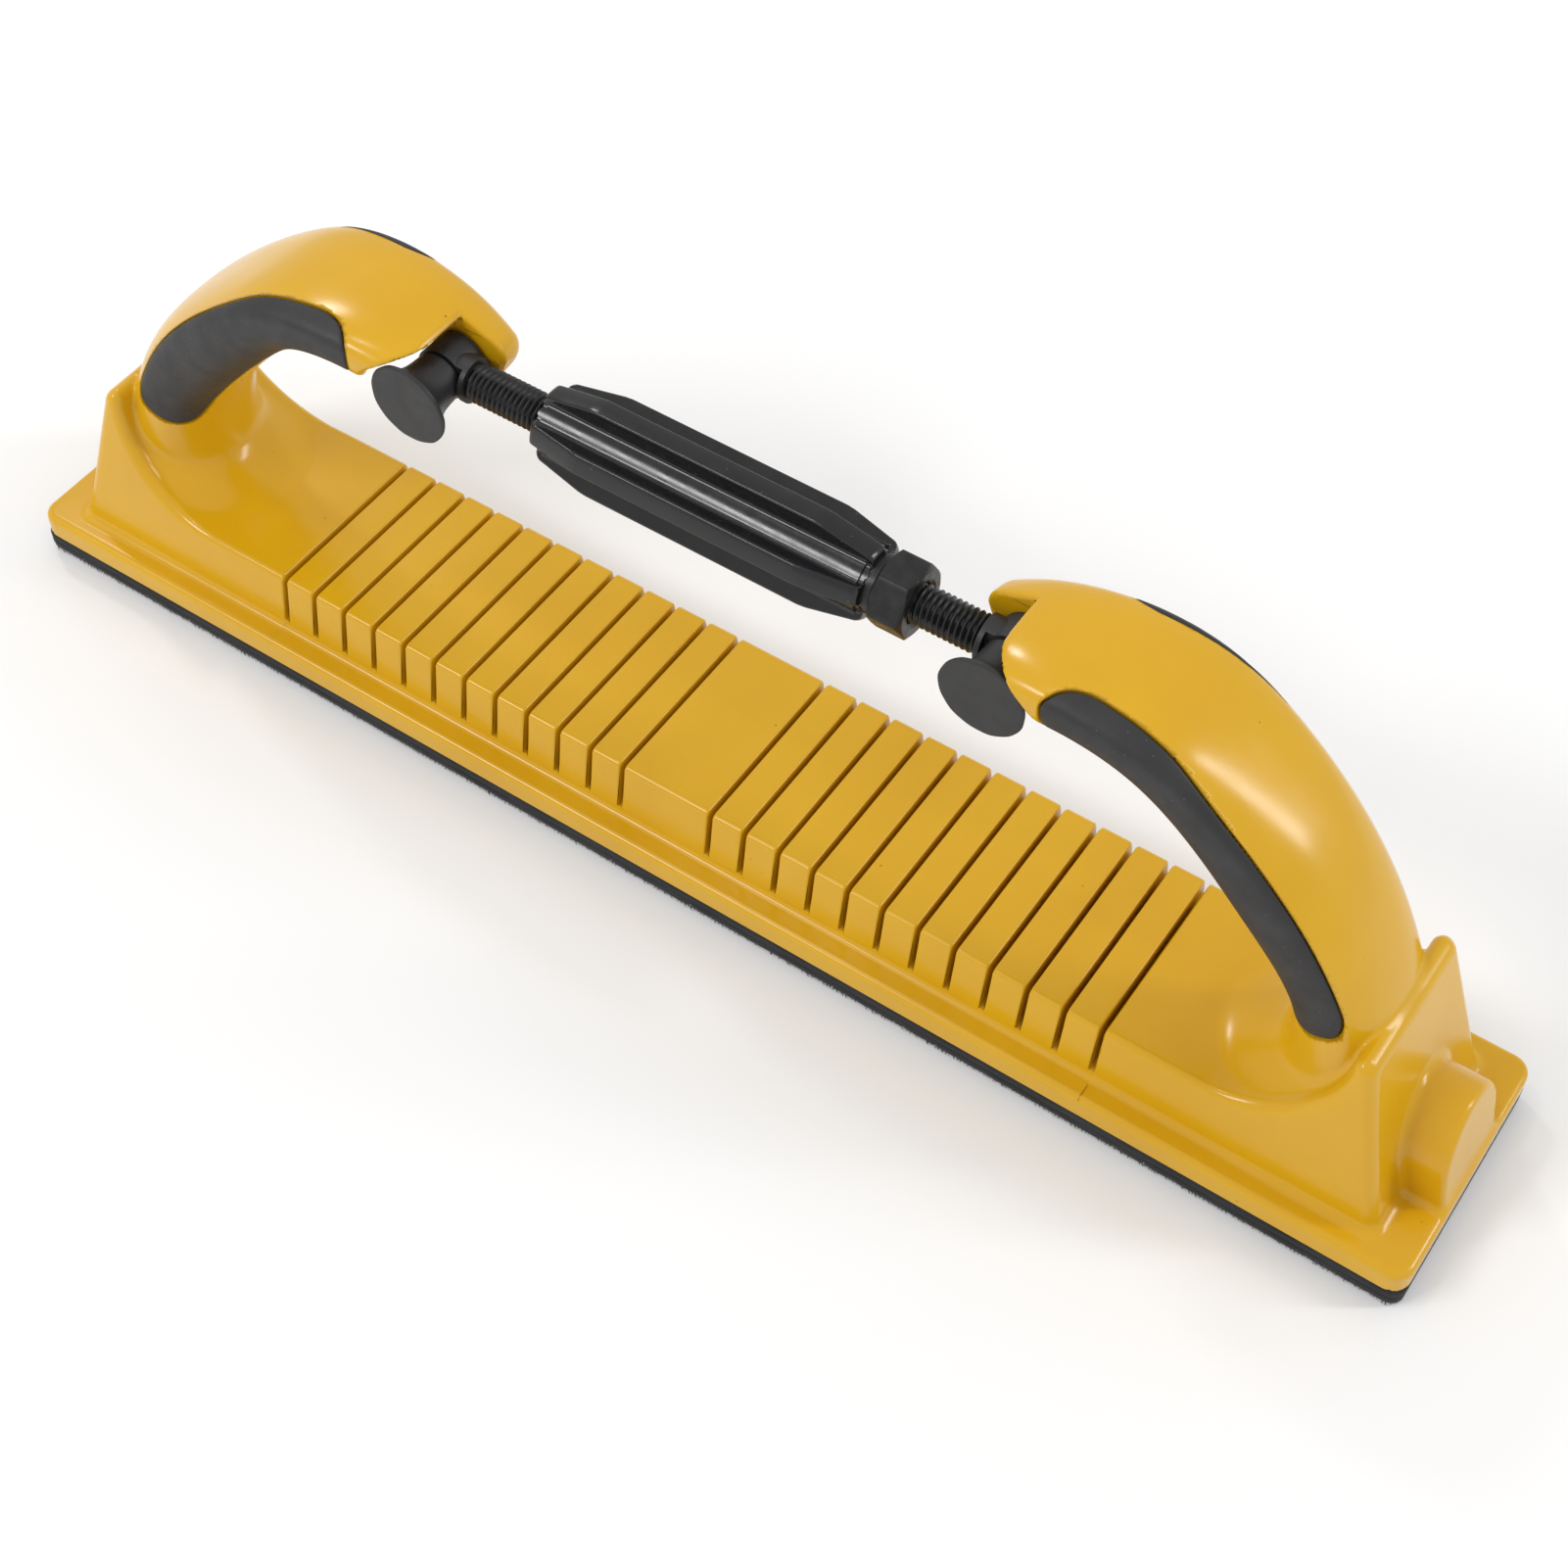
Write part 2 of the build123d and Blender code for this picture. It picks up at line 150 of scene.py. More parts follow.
def make(name, points, faces, material, body=None, blend=None, replaces=(), slot=None, mirror=False,
         sharp=38.0, normals=None, weighted=True):
    """Make a piece from millimetre points and faces, parent it to its body's empty or bake its transform, and
    hide the CAD parts it replaces.

    Normals are given per face corner, for a mesh of quads.
    """
    points = np.array(points, float)
    faces = [list(map(int, face)) for face in faces]
    if mirror:
        points[:, 0] *= -1
        faces = [face[::-1] for face in faces]
    mesh = bpy.data.meshes.new(name)
    mesh.from_pydata((points * MM).tolist(), [], faces)
    if normals is None:
        tidy = bmesh.new()
        tidy.from_mesh(mesh)
        bmesh.ops.remove_doubles(tidy, verts=tidy.verts, dist=1e-7)
        bmesh.ops.dissolve_degenerate(tidy, edges=tidy.edges, dist=1e-7)
        bmesh.ops.recalc_face_normals(tidy, faces=tidy.faces)
        tidy.to_mesh(mesh)
        tidy.free()
    mesh.update()
    mesh.polygons.foreach_set("use_smooth", [True] * len(mesh.polygons))
    if normals is None:
        mesh.set_sharp_from_angle(angle=radians(sharp))
    else:
        loop_normals = np.array(normals)
        if mirror:
            loop_normals = loop_normals.reshape(-1, 4, 3)[:, ::-1].reshape(-1, 3) * (-1, 1, 1)
        mesh.normals_split_custom_set(loop_normals.tolist())
    mesh.materials.append(material)
    thing = bpy.data.objects.new(name, mesh)
    bpy.context.scene.collection.objects.link(thing)
    if normals is None and weighted:
        modifier = thing.modifiers.new("weighted", "WEIGHTED_NORMAL")
        modifier.keep_sharp = True
    if body:
        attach(thing, body)
    if blend:
        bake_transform(thing)
    if replaces:
        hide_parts(*replaces)
    return thing


def sweep(rings, wrap=False):
    """Points and faces through equal rings of points, with flat ends unless it wraps round."""
    rings = np.array(rings, float)
    count, around = rings.shape[:2]
    faces = []
    for i in range(count if wrap else count - 1):
        j = (i + 1) % count
        for k in range(around):
            n = (k + 1) % around
            faces.append((i * around + k, i * around + n, j * around + n, j * around + k))
    if not wrap:
        faces.append(tuple(range(around))[::-1])
        faces.append(tuple((count - 1) * around + k for k in range(around)))
    return rings.reshape(-1, 3), faces


def join(*parts):
    """Several (points, faces) pairs as one."""
    points, faces, base = [], [], 0
    for some_points, some_faces in parts:
        points.append(np.array(some_points, float))
        faces += [tuple(base + i for i in face) for face in some_faces]
        base += len(some_points)
    return np.concatenate(points), faces


# ---------------------------------------------------------------- materials

def new_material(name, colour, roughness, **settings):
    """A material with its node tree, its shader and the object coordinates."""
    material = bpy.data.materials.new(name)
    material.use_nodes = True
    tree = material.node_tree
    shader = tree.nodes["Principled BSDF"]
    shader.inputs["Base Color"].default_value = (*colour, 1)
    shader.inputs["Roughness"].default_value = roughness
    for key, value in settings.items():
        shader.inputs[key.replace("_", " ")].default_value = value
    coordinates = tree.nodes.new("ShaderNodeTexCoord")
    return material, tree, shader, coordinates.outputs["Object"]


def noise(tree, where, scale, detail=3.0, stretch=None):
    """A noise texture's factor; scale is in features per metre."""
    if stretch:
        mapping = tree.nodes.new("ShaderNodeMapping")
        mapping.inputs["Scale"].default_value = stretch
        tree.links.new(where, mapping.inputs["Vector"])
        where = mapping.outputs["Vector"]
    node = tree.nodes.new("ShaderNodeTexNoise")
    node.inputs["Scale"].default_value = scale
    node.inputs["Detail"].default_value = detail
    tree.links.new(where, node.inputs["Vector"])
    return node.outputs["Fac"]


def specks(tree, where, scale, size):
    """1 in small scattered specks, 0 elsewhere; size is a share of the cell."""
    node = tree.nodes.new("ShaderNodeTexVoronoi")
    node.inputs["Scale"].default_value = scale
    tree.links.new(where, node.inputs["Vector"])
    return spread(tree, node.outputs["Distance"], size * 0.6, size, 1.0, 0.0)


def spread(tree, value, low, high, out_low, out_high):
    """Map a value from one range to another, held at both ends."""
    node = tree.nodes.new("ShaderNodeMapRange")
    node.clamp = True
    for key, number in (("From Min", low), ("From Max", high), ("To Min", out_low), ("To Max", out_high)):
        node.inputs[key].default_value = number
    tree.links.new(value, node.inputs["Value"])
    return node.outputs["Result"]


def mix(tree, factor, first, second):
    """Mix two colours; each is a colour or a socket."""
    node = tree.nodes.new("ShaderNodeMix")
    node.data_type = "RGBA"
    tree.links.new(factor, node.inputs["Factor"])
    for key, value in ((6, first), (7, second)):
        if isinstance(value, tuple):
            node.inputs[key].default_value = (*value, 1)
        else:
            tree.links.new(value, node.inputs[key])
    return node.outputs[2]


def bump(tree, shader, height, distance, strength=1.0, after=None):
    """Bump the shader by a texture, its distance in metres, on top of another bump if one is given."""
    node = tree.nodes.new("ShaderNodeBump")
    node.inputs["Distance"].default_value = distance
    node.inputs["Strength"].default_value = strength
    tree.links.new(height, node.inputs["Height"])
    if after is not None:
        tree.links.new(after, node.inputs["Normal"])
    tree.links.new(node.outputs["Normal"], shader.inputs["Normal"])
    return node.outputs["Normal"]


def yellow_plastic():
    material, tree, shader, where = new_material("yellow_plastic", (0.67, 0.375, 0.007), 0.2, IOR=1.46)
    cloud = spread(tree, noise(tree, where, 26, 4), 0.3, 0.7, 0.0, 1.0)
    body = mix(tree, cloud, (0.65, 0.350, 0.005), (0.70, 0.392, 0.008))
    dots = noise(tree, where, 95, 0)
    rare = specks(tree, where, 150, 0.055)
    sparse = tree.nodes.new("ShaderNodeMath")
    sparse.operation = "MULTIPLY"
    tree.links.new(rare, sparse.inputs[0])
    tree.links.new(spread(tree, dots, 0.6, 0.64, 0.0, 0.8), sparse.inputs[1])
    tree.links.new(mix(tree, sparse.outputs[0], body, (0.16, 0.07, 0.006)), shader.inputs["Base Color"])
    tree.links.new(spread(tree, noise(tree, where, 60, 5), 0.3, 0.75, 0.16, 0.25), shader.inputs["Roughness"])
    first = bump(tree, shader, noise(tree, where, 42, 2), 0.0005, 0.1)
    bump(tree, shader, noise(tree, where, 900, 2), 0.00005, 0.14, first)
    return material


def rubber():
    material, tree, shader, where = new_material("rubber", (0.026, 0.026, 0.028), 0.56)
    tone = spread(tree, noise(tree, where, 70, 5), 0.3, 0.7, 0.0, 1.0)
    base = mix(tree, tone, (0.015, 0.0152, 0.0165), (0.024, 0.0242, 0.026))
    dust = specks(tree, where, 420, 0.075)
    tree.links.new(mix(tree, dust, base, (0.11, 0.11, 0.11)), shader.inputs["Base Color"])
    tree.links.new(spread(tree, noise(tree, where, 160, 4), 0.3, 0.7, 0.5, 0.64), shader.inputs["Roughness"])
    bump(tree, shader, noise(tree, where, 1900, 2), 0.00012, 0.28)
    return material


def foam():
    material, tree, shader, where = new_material("foam", (0.014, 0.014, 0.016), 0.82)
    tone = spread(tree, noise(tree, where, 330, 4, (0.3, 0.3, 3.0)), 0.35, 0.7, 0.0, 1.0)
    tree.links.new(mix(tree, tone, (0.010, 0.010, 0.012), (0.026, 0.026, 0.029)), shader.inputs["Base Color"])
    bump(tree, shader, noise(tree, where, 1600, 4), 0.00035, 0.6)
    return material


def hook_fabric():
    material, tree, shader, where = new_material("hook_fabric", (0.012, 0.012, 0.013), 0.7, Sheen_Weight=0.25)
    tone = spread(tree, noise(tree, where, 900, 3), 0.45, 0.75, 0.0, 1.0)
    fluff = mix(tree, tone, (0.009, 0.009, 0.010), (0.04, 0.04, 0.043))
    lint = specks(tree, where, 500, 0.12)
    tree.links.new(mix(tree, lint, fluff, (0.5, 0.5, 0.5)), shader.inputs["Base Color"])
    bump(tree, shader, noise(tree, where, 2600, 3), 0.0004, 0.7)
    return material


def black_plastic(name, colour, low, high, grain):
    material, tree, shader, where = new_material(name, colour, (low + high) / 2)
    tone = spread(tree, noise(tree, where, 120, 5), 0.3, 0.7, 0.0, 1.0)
    light = tuple(1.5 * c for c in colour)
    dusty = mix(tree, specks(tree, where, 260, 0.05), mix(tree, tone, colour, light), (0.09, 0.09, 0.09))
    tree.links.new(dusty, shader.inputs["Base Color"])
    tree.links.new(spread(tree, noise(tree, where, 240, 5), 0.3, 0.7, low, high), shader.inputs["Roughness"])
    bump(tree, shader, noise(tree, where, 1300, 2), 0.0001, grain)
    return material


def dark_steel(name, colour, metal, low, high):
    material, tree, shader, where = new_material(name, colour, (low + high) / 2, Metallic=metal)
    worn = spread(tree, noise(tree, where, 380, 6), 0.4, 0.72, 0.0, 1.0)
    tree.links.new(mix(tree, worn, colour, tuple(2.0 * c for c in colour)), shader.inputs["Base Color"])
    tree.links.new(spread(tree, noise(tree, where, 520, 4), 0.3, 0.7, low, high), shader.inputs["Roughness"])
    bump(tree, shader, noise(tree, where, 2400, 3), 0.00006, 0.25)
    return material


YELLOW = yellow_plastic()
RUBBER = rubber()
FOAM = foam()
HOOKS = hook_fabric()
GLOSS_BLACK = black_plastic("gloss_black", (0.0055, 0.0056, 0.0065), 0.13, 0.24, 0.05)
MATTE_BLACK = black_plastic("matte_black", (0.0135, 0.0137, 0.0147), 0.42, 0.55, 0.25)
BLACK_STEEL = dark_steel("black_steel", (0.012, 0.012, 0.013), 0.35, 0.3, 0.46)
SCREW_STEEL = dark_steel("screw_steel", (0.35, 0.35, 0.36), 1.0, 0.3, 0.45)


# ---------------------------------------------------------------- handle arm

def natural_spline(knots, values, query):
    """Natural cubic through values at knots, at each query."""
    last = len(knots) - 1
    step = np.diff(knots)
    matrix = np.eye(last + 1)
    right = np.zeros(values.shape)
    for i in range(1, last):
        matrix[i, i - 1:i + 2] = step[i - 1], 2 * (step[i - 1] + step[i]), step[i]
        right[i] = 6 * ((values[i + 1] - values[i]) / step[i] - (values[i] - values[i - 1]) / step[i - 1])
    second = np.linalg.solve(matrix, right)
    i = np.clip(np.searchsorted(knots, query) - 1, 0, last - 1)
    t = (query - knots[i])[:, None]
    g = step[i][:, None]
    curve = (second[i] * (g - t) ** 3 + second[i + 1] * t ** 3) / (6 * g)
    from_left = (values[i] / g - second[i] * g / 6) * (g - t)
    return curve + from_left + (values[i + 1] / g - second[i + 1] * g / 6) * t


RAIL_SAMPLES = 600
station_steps = np.hypot(np.diff(ARM_STATIONS[:, 0]), np.diff(ARM_STATIONS[:, 1]))
arm_knots = np.concatenate([[0], np.cumsum(station_steps)])
ARM_LENGTH = arm_knots[-1]
rail = natural_spline(arm_knots, ARM_STATIONS, np.linspace(0, ARM_LENGTH, RAIL_SAMPLES))
rail_way = np.gradient(rail[:, :2], axis=0)
rail_way /= np.linalg.norm(rail_way, axis=1, keepdims=True)
rail = np.column_stack([rail, rail_way])

LATTICE_X = np.arange(40.0, 225.0)
LATTICE_Z = np.arange(0.0, 145.0)


def nearest_sample():
    """Nearest rail sample, with its fraction, at each point of a 1 mm lattice in x and z."""
    gx, gz = np.meshgrid(LATTICE_X, LATTICE_Z, indexing="ij")
    spots = np.stack([gx.ravel(), gz.ravel()], 1)
    best = np.empty(len(spots))
    for k in range(0, len(spots), 2000):
        some = spots[k:k + 2000]
        i = ((some[:, None] - rail[None, :, :2]) ** 2).sum(2).argmin(1)
        along = ((some - rail[i, :2]) * rail[i, WAY_X:]).sum(1) / (ARM_LENGTH / (RAIL_SAMPLES - 1))
        best[k:k + 2000] = np.clip(i + np.clip(along, -1, 1), 0, RAIL_SAMPLES - 1)
    return best.reshape(gx.shape)


lattice = nearest_sample()


def arm_frame(x, z):
    """The rail's values beside each point, and the point's height above the rail."""
    i = np.clip(x - LATTICE_X[0], 0, len(LATTICE_X) - 1.001)
    j = np.clip(z - LATTICE_Z[0], 0, len(LATTICE_Z) - 1.001)
    a, b = i.astype(int), j.astype(int)
    u, v = i - a, j - b
    s = (lattice[a, b] * (1 - u) + lattice[a + 1, b] * u) * (1 - v)
    s = s + (lattice[a, b + 1] * (1 - u) + lattice[a + 1, b + 1] * u) * v
    k = np.minimum(s.astype(int), RAIL_SAMPLES - 2)
    f = (s - k)[..., None]
    r = rail[k] * (1 - f) + rail[k + 1] * f
    return r, -(x - r[..., 0]) * r[..., WAY_Z] + (z - r[..., 1]) * r[..., WAY_X]


def round_max(a, b, r):
    """Greater of two distances, its convex edge rounded to r."""
    return np.minimum(-r, np.maximum(a, b)) + np.hypot(np.maximum(a + r, 0), np.maximum(b + r, 0))


def round_min(a, b, r):
    """Lesser of two distances, its inner corner filleted to r."""
    return -round_max(-a, -b, r)


def smooth_step(x, low, high):
    """0 below low, 1 above high, and an S between."""
    t = np.clip((x - low) / (high - low), 0, 1)
    return t * t * (3 - 2 * t)


def arm_skin(p):
    """Distance from the arm's rounded section, endless at both ends."""
    x, y, z = p[..., 0], p[..., 1], p[..., 2]
    r, t = arm_frame(x, z)
    depth = np.where(t > 0, r[..., ABOVE], r[..., BELOW])
    half, power = r[..., HALF], r[..., SQUARENESS]
    a, b = np.abs(t) / depth, np.abs(y) / half
    f = (a ** power + b ** power) ** (1 / power) + 1e-9
    slope = np.hypot((a / f) ** (power - 1) / depth, (b / f) ** (power - 1) / half)
    return (f - 1) / slope


def arm_field(p):
    """The arm with its rounded tip, its open jaw and the pocket behind the near cheek."""
    x, y, z = p[..., 0], p[..., 1], p[..., 2]
    tip = -((x - rail[0, 0]) * rail[0, WAY_X] + (z - rail[0, 1]) * rail[0, WAY_Z])
    solid = round_max(arm_skin(p), tip, TIP_ROUND)
    edge = np.hypot(np.maximum(x - JAW_X, 0), np.maximum(z - JAW_Z, 0)) - JAW_RADIUS
    edge = edge - JAW_SPREAD * np.maximum(JAW_Z - z, 0)
    edge = np.minimum(edge, x - CHEEK_START)
    solid = round_max(solid, -np.maximum(edge, y - JAW_BACK_Y), 1.5)
    pocket = np.maximum(np.maximum(x - POCKET_END, y - JAW_BACK_Y),
                        np.maximum(POCKET_FRONT_Y - y, z - POCKET_TOP))
    return round_max(solid, -pocket, 1.0)


def leaning_back(x, z, foot_x, top_x, top_z):
    """Distance past a plane that leans in from its foot on the flange to its top."""
    run, rise = foot_x - top_x, top_z - FLANGE_TOP
    return ((x - foot_x) * rise + (z - FLANGE_TOP) * run) / sqrt(rise ** 2 + run ** 2)


def end_field(p, boss):
    """The whole end piece: flange, drafted block with its scooped ramp, arm and boss."""
    x, y, z = p[..., 0], p[..., 1], p[..., 2]
    side = np.abs(y)
    cx, cy = x - HALF_LENGTH + CORNER, side - HALF_WIDTH + CORNER
    plan = np.hypot(np.maximum(cx, 0), np.maximum(cy, 0)) + np.minimum(np.maximum(cx, cy), 0) - CORNER
    flange = round_max(plan, z - FLANGE_TOP, FLANGE_EDGE)
    ramp_z = PLINTH_TOP + RAMP_RADIUS
    scoop = RAMP_RADIUS - np.hypot(np.maximum(x - RAMP_START, 0), np.maximum(ramp_z - z, 0))
    edge = 1.6 + 1.4 * smooth_step(x, 142, 172)
    back = leaning_back(x, z, BLOCK_FOOT_X, BUTTRESS_BACK_X, BUTTRESS_TOP)
    block = round_max(round_max(scoop, z - BUTTRESS_TOP, 3.0), back, 3.2)
    flank = (side - PLINTH_HALF - DRAFT * (PLINTH_TOP - z)) / sqrt(1 + DRAFT ** 2)
    block = round_max(block, flank, edge)
    base = round_min(flange, block, ROOT_FILLET + 0.6 * smooth_step(x, 150, 185))
    if boss:
        arch = np.where(z > BOSS_Z, np.hypot(y, z - BOSS_Z), side) - BOSS_RADIUS
        end = leaning_back(x, z, BOSS_FOOT_X, BOSS_TOP_X, BOSS_Z + BOSS_RADIUS)
        knob = np.maximum(round_max(arch, end, 1.5), BOSS_ROOT_X - x)
        base = round_min(base, knob, 2.2)
    lip = 0.55 * smooth_step(z, SLOT_FLOOR, SLOT_FLOOR + 1.2) + 0.001
    base = round_max(base, FLEX_END - x, lip)
    base = np.maximum(base, x - HALF_LENGTH)
    foot = 1.4 + 4.6 * smooth_step(-x, -182, -160)
    return np.maximum(round_min(base, arm_field(p), foot), np.maximum(FLANGE_Z - z, z - CREST_Z))


def gradient(field, p, step=0.05):
    """Unit-free gradient of a distance field."""
    out = np.empty_like(p)
    for axis in range(3):
        shift = np.zeros(3)
        shift[axis] = step
        out[:, axis] = (field(p + shift) - field(p - shift)) / (2 * step)
    return out


def settle(field, p, limit, rounds=3):
    """Move points onto the field's zero surface."""
    for _ in range(rounds):
        g = gradient(field, p)
        size = np.maximum((g ** 2).sum(1), 0.2)
        move = -(field(p) / size)[:, None] * g
        length = np.linalg.norm(move, axis=1, keepdims=True)
        p = p + move * np.minimum(1, limit / np.maximum(length, 1e-9))
    return p


def surface_nets(field, low, high, cell):
    """Even quads over the zero surface of a field inside a box."""
    axes = [np.arange(a, b + cell, cell) for a, b in zip(low, high)]
    shape = [len(a) for a in axes]
    grid = np.empty(shape)
    for i in range(0, shape[0], 24):
        block = np.stack(np.meshgrid(axes[0][i:i + 24], axes[1], axes[2], indexing="ij"), -1)
        grid[i:i + 24] = field(block)
    inside = grid < 0
    nx, ny, nz = (n - 1 for n in shape)
    corners = [(i, j, k) for i in (0, 1) for j in (0, 1) for k in (0, 1)]
    count = sum(inside[i:i + nx, j:j + ny, k:k + nz].astype(int) for i, j, k in corners)
    cells = np.argwhere((count > 0) & (count < 8))
    index = -np.ones((nx, ny, nz), int)
    index[tuple(cells.T)] = np.arange(len(cells))
    total, hits = np.zeros((len(cells), 3)), np.zeros(len(cells))
    for corner in corners:
        for axis in range(3):
            if corner[axis]:
                continue
            start = np.array(corner)
            unit = np.eye(3, dtype=int)[axis]
            va, vb = grid[tuple((cells + start).T)], grid[tuple((cells + start + unit).T)]
            crossing = (va < 0) != (vb < 0)
            t = va / np.where(crossing, va - vb, 1)
            total[crossing] += (start + t[:, None] * unit)[crossing]
            hits += crossing
    points = np.array(low) + cell * (cells + total / hits[:, None])
    faces = []
    for axis in range(3):
        unit = np.eye(3, dtype=int)
        u, w = unit[(axis + 1) % 3], unit[(axis + 2) % 3]
        limit = [slice(1, n) for n in (nx, ny, nz)]
        limit[axis] = slice(0, (nx, ny, nz)[axis])
        ahead = list(limit)
        ahead[axis] = slice(1, (nx, ny, nz)[axis] + 1)
        here, there = inside[tuple(limit)], inside[tuple(ahead)]
        spots = np.argwhere(here != there)
        outward = here[tuple(spots.T)]
        spots = spots + 1 - unit[axis]
        ring = [index[tuple((spots - a).T)] for a in (0 * u, u, u + w, w)]
        quads = np.stack(ring, 1)
        quads[~outward] = quads[~outward][:, ::-1]
        faces.append(quads)
    return points, np.concatenate(faces)


def relax(points, quads, field, held, rounds=2):
    """Even out the mesh along its surface, leaving the held points."""
    pairs = np.concatenate([quads[:, [i, (i + 1) % 4]] for i in range(4)])
    pairs = np.unique(np.sort(pairs, 1), axis=0)
    for _ in range(rounds):
        total, hits = np.zeros_like(points), np.zeros(len(points))
        for a, b in ((0, 1), (1, 0)):
            np.add.at(total, pairs[:, a], points[pairs[:, b]])
            np.add.at(hits, pairs[:, a], 1)
        move = total / np.maximum(hits, 1)[:, None] - points
        g = gradient(field, points)
        g /= np.maximum(np.linalg.norm(g, axis=1, keepdims=True), 1e-6)
        move -= (move * g).sum(1)[:, None] * g
        move[held] = 0
        points = settle(field, points + 0.5 * move, 0.3, 1)
    return points


def arm_point(travel, angle, side):
    """Point on the arm's skin at a travel along it and an angle from its top."""
    s = np.clip(travel / ARM_LENGTH * (RAIL_SAMPLES - 1), 0, RAIL_SAMPLES - 1.001)
    k = s.astype(int)
    f = (s - k)[:, None]
    r = rail[k] * (1 - f) + rail[k + 1] * f
    up, across = np.cos(np.radians(angle)), np.sin(np.radians(angle))
    depth = np.where(up > 0, r[:, ABOVE], r[:, BELOW])
    t = np.sign(up) * depth * np.abs(up) ** (2 / r[:, SQUARENESS])
    y = side * r[:, HALF] * np.abs(across) ** (2 / r[:, SQUARENESS])
    return np.stack([r[:, 0] - t * r[:, WAY_Z], y, r[:, 1] + t * r[:, WAY_X]], 1)


def inlay_line(side):
    """Closed outline of an inlay on the skin, with the unit direction into the inlay."""
    outline = INLAY_OUTLINE.copy()
    if side > 0:
        outline[:, 1] += FAR_INLAY_DROP * (1 - smooth_step(outline[:, 1], 40, 110))
    loop = np.concatenate([outline[-3:], outline, outline[:3]])
    scaled = loop * (1, 0.27)
    knots = np.concatenate([[0], np.cumsum(np.linalg.norm(np.diff(scaled, axis=0), axis=1))])
    query = np.linspace(knots[3], knots[-3], 480, endpoint=False)
    way = natural_spline(knots, loop, query)
    for _ in range(4):
        way = 0.25 * np.roll(way, 1, 0) + 0.5 * way + 0.25 * np.roll(way, -1, 0)
    line = arm_point(way[:, 0], way[:, 1], side)
    along = np.roll(line, -1, 0) - np.roll(line, 1, 0)
    along /= np.linalg.norm(along, axis=1, keepdims=True)
    skin = gradient(arm_skin, line)
    skin /= np.linalg.norm(skin, axis=1, keepdims=True)
    inward = np.cross(skin, along)
    middle = arm_point(np.array([85.0]), np.array([105.0]), side)[0]
    if ((middle - line[0]) * inward[0]).sum() < 0:
        inward = -inward
    return line, along, inward


def from_outline(points, outline):
    """Signed distance into the inlay, with the nearest outline sample and the way along it."""
    line, along, inward = outline
    near = np.empty(len(points), int)
    for k in range(0, len(points), 4000):
        near[k:k + 4000] = ((points[k:k + 4000, None] - line[None]) ** 2).sum(2).argmin(1)
    away = points - line[near]
    distance = np.linalg.norm(away, axis=1)
    depth = (away * inward[near]).sum(1)
    return np.where(np.abs(depth) < 2.5, depth, np.sign(depth) * distance), near, (away * along[near]).sum(1)


def at_level(near, slide, outline, level):
    """Points on the skin at a distance inside the outline, beside their nearest samples."""
    line, along, inward = outline
    where = line[near] + along[near] * slide[:, None] + inward[near] * level
    return settle(arm_skin, where, 1.0, 2)


def skin_normals(points):
    """Unit normals of the arm's skin."""
    g = gradient(arm_skin, points)
    return g / np.linalg.norm(g, axis=1, keepdims=True)


def rim_edges(quads, chosen):
    """Directed edges of the chosen faces that a face outside them shares."""
    edges = np.concatenate([quads[:, [i, (i + 1) % 4]] for i in range(4)])
    mine = np.tile(chosen, 4)
    selected = edges[mine]
    keys = {(int(a), int(b)) for a, b in edges[~mine]}
    return [(int(a), int(b)) for a, b in selected if (int(b), int(a)) in keys]


def split_at(points, quads, outline, side, level):
    """Choose the faces inside an outline and put their rim on it."""
    near_arm = np.abs(arm_skin(points)) < 0.45
    depth, near, slide = from_outline(points, outline)
    depth = np.where(near_arm & (points[:, 1] * side > 0), depth, -99)
    chosen = depth[quads].mean(1) > level
    for _ in range(2):
        inner = np.zeros(len(points), int)
        outer = np.zeros(len(points), int)
        np.add.at(inner, quads[chosen].ravel(), 1)
        np.add.at(outer, quads[~chosen].ravel(), 1)
        # a face with all its corners on the rim goes to the other side
        rim = (inner > 0) & (outer > 0)
        crowded = rim[quads].all(1)
        chosen = np.where(crowded, ~chosen, chosen)
    inner = np.zeros(len(points), bool)
    outer = np.zeros(len(points), bool)
    inner[quads[chosen].ravel()] = True
    outer[quads[~chosen].ravel()] = True
    rim = inner & outer
    points = points.copy()
    points[rim] = at_level(near[rim], slide[rim], outline, level)
    return points, chosen, rim, near, slide


